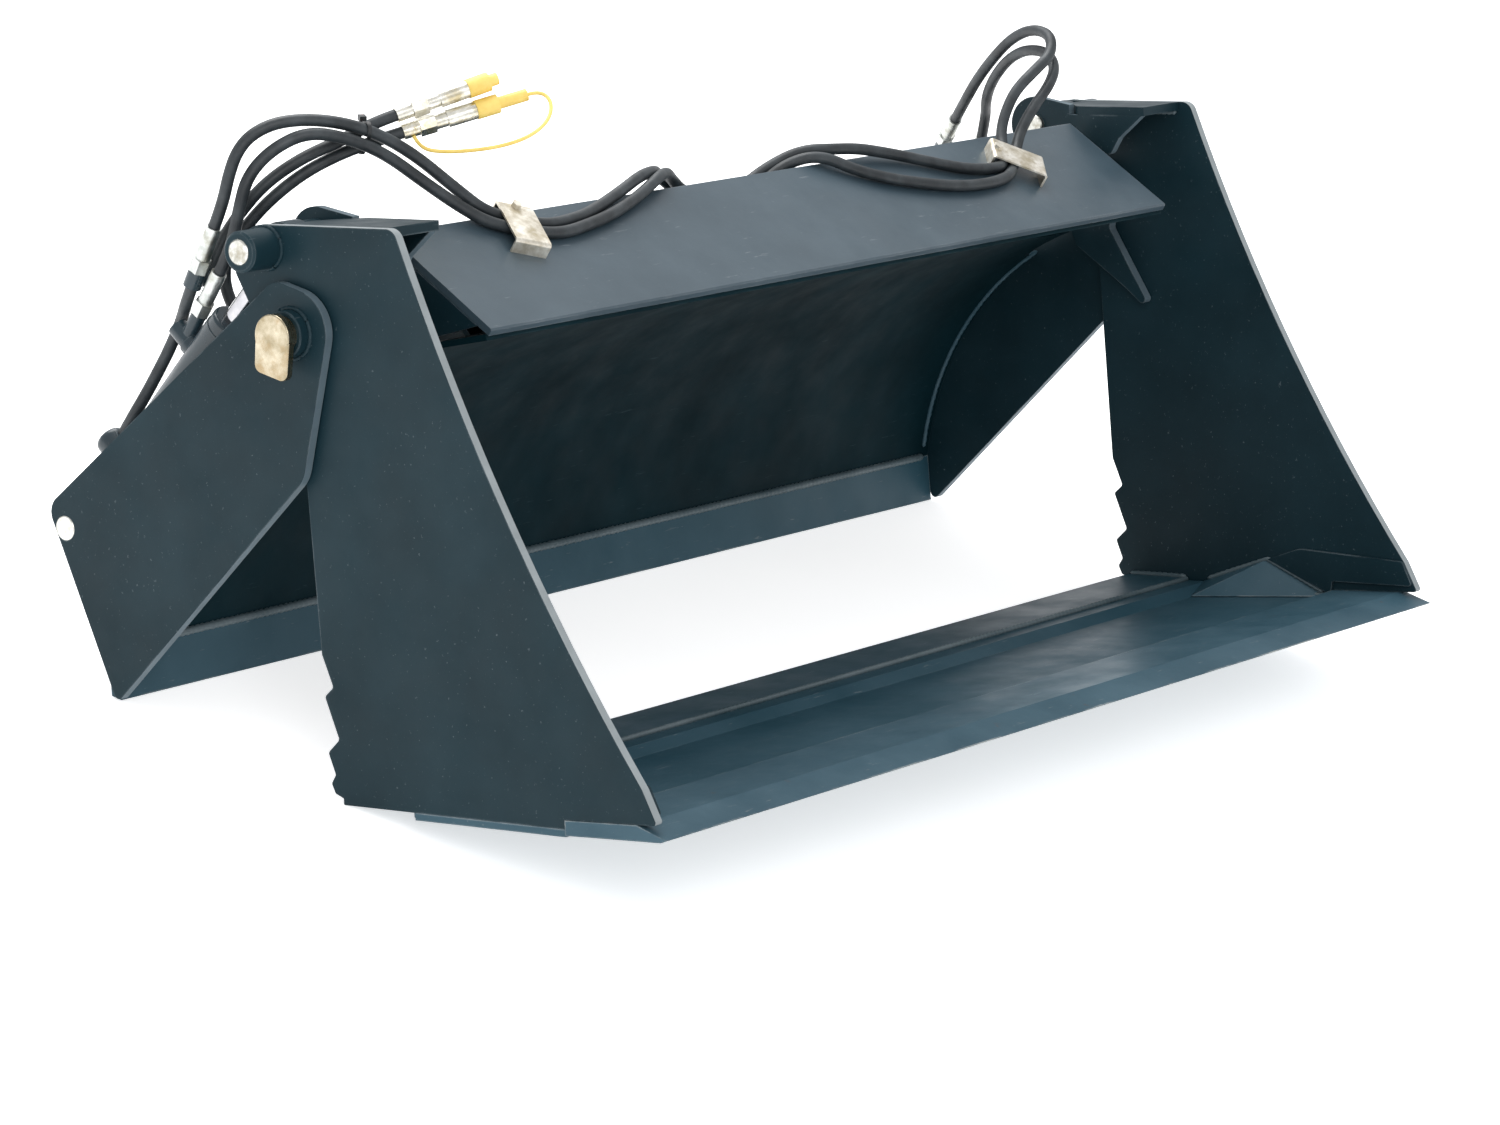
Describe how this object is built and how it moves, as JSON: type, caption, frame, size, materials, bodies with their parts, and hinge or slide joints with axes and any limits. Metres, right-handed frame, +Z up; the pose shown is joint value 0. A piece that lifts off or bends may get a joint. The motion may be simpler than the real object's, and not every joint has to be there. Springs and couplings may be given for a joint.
{
  "type": "skid steer clamshell bucket",
  "caption": "Two-jaw clamshell bucket for a skid steer: rear shell with hook-on plate, hinged front jaw with serrated side plates, worked by side cylinders and hoses.",
  "frame": {"origin": "bottom centre of the whole part, below the middle of its width and depth, without its free supply hoses", "axes": "+X across the bucket towards its right side as the operator sees it, +Y towards the machine, +Z up"},
  "size_m": [1.903, 1.033, 0.8552],
  "materials": {
    "frame_paint": "satin, scuffed in places",
    "cylinder_paint": "satin",
    "edge_steel": "satin, worn to bare steel at the corners",
    "zinc_pin": "yellow zinc, worn",
    "pin_steel": "turned",
    "chrome_rod": "polished",
    "gland_steel": "satin",
    "zinc_fitting": "zinc plated",
    "coupler_steel": "zinc plated",
    "yellow_plastic": "soft matte",
    "black_plastic": "matte",
    "clamp_zinc": "yellow zinc, faded",
    "hose_rubber": "matte, slightly dusty"
  },
  "bodies": {
    "rear_body": {"left_rear_side_plate": "frame_paint", "right_rear_side_plate": "frame_paint", "pivot_ears": "frame_paint", "moldboard": "frame_paint", "rear_lip": "frame_paint", "deflector": "frame_paint", "back_plate": "frame_paint", "quick_attach_plate": "frame_paint", "quick_attach_ribs": "frame_paint", "beam_end_plates": "frame_paint", "pivot_tubes": "frame_paint", "cylinder_base_lugs": "frame_paint", "cylinder_base_pins": "pin_steel", "pivot_bosses": "frame_paint", "left_pivot_pin": "zinc_pin", "right_pivot_pin": "zinc_pin", "left_hose_clamp": "clamp_zinc", "right_hose_clamp": "clamp_zinc", "clamp_bolts": "clamp_zinc", "crossover_hoses_middle": "hose_rubber", "left_crossover_hoses": "hose_rubber", "right_crossover_hoses": "hose_rubber", "supply_hose_extend": "hose_rubber", "supply_hose_retract": "hose_rubber", "couplers": "coupler_steel", "dust_caps": "yellow_plastic", "cap_lanyard": "yellow_plastic", "zip_tie": "black_plastic"},
    "clam": {"left_clam_side_plate": "frame_paint", "right_clam_side_plate": "frame_paint", "pivot_bushings": "pin_steel", "clam_floor": "frame_paint", "heel_strip": "frame_paint", "cutting_edge": "edge_steel", "top_flanges": "frame_paint", "rod_lugs": "frame_paint", "rod_pin_bosses": "frame_paint", "rod_pins": "pin_steel", "rod_pin_spacers": "frame_paint", "corner_gussets": "frame_paint", "side_doublers": "frame_paint"},
    "left_barrel": {"left_barrel": "cylinder_paint", "left_base_eye": "cylinder_paint", "left_gland": "gland_steel", "left_hose_tees": "cylinder_paint", "left_hose_ferrules": "zinc_fitting", "left_base_hose": "hose_rubber"},
    "left_rod": {"left_rod": "chrome_rod", "left_rod_eye": "cylinder_paint", "left_piston": "gland_steel"},
    "right_barrel": {"right_barrel": "cylinder_paint", "right_base_eye": "cylinder_paint", "right_gland": "gland_steel", "right_hose_tees": "cylinder_paint", "right_hose_ferrules": "zinc_fitting", "right_base_hose": "hose_rubber"},
    "right_rod": {"right_rod": "chrome_rod", "right_rod_eye": "cylinder_paint", "right_piston": "gland_steel"}
  },
  "joints": [
    {"name": "clam_hinge", "type": "hinge", "parent": "rear_body", "child": "clam", "pos_m": [0, 0.166, 0.563], "axis": [1, 0, 0], "range_deg": [0, 37]},
    {"name": "left_barrel_hinge", "type": "hinge", "parent": "rear_body", "child": "left_barrel", "pos_m": [-0.858, 0.487, 0.195], "axis": [1, 0, 0], "range_deg": [0, 4.32], "deforming": ["left_crossover_hoses", "supply_hose_extend", "supply_hose_retract"]},
    {"name": "left_rod_slide", "type": "slide", "parent": "left_barrel", "child": "left_rod", "axis": [0, -0.4779, 0.8784], "range_m": [0, 0.06]},
    {"name": "right_barrel_hinge", "type": "hinge", "parent": "rear_body", "child": "right_barrel", "pos_m": [0.858, 0.487, 0.195], "axis": [1, 0, 0], "range_deg": [0, 4.32], "deforming": ["right_crossover_hoses"]},
    {"name": "right_rod_slide", "type": "slide", "parent": "right_barrel", "child": "right_rod", "axis": [0, -0.4779, 0.8784], "range_m": [0, 0.06]}
  ],
  "couplings": [
    {"joint": "left_barrel_hinge", "follows": "clam_hinge", "ratio": 0.1163},
    {"joint": "left_rod_slide", "follows": "clam_hinge", "m_per_rad": 0.09247},
    {"joint": "right_barrel_hinge", "follows": "clam_hinge", "ratio": 0.1163},
    {"joint": "right_rod_slide", "follows": "clam_hinge", "m_per_rad": 0.09247}
  ]
}
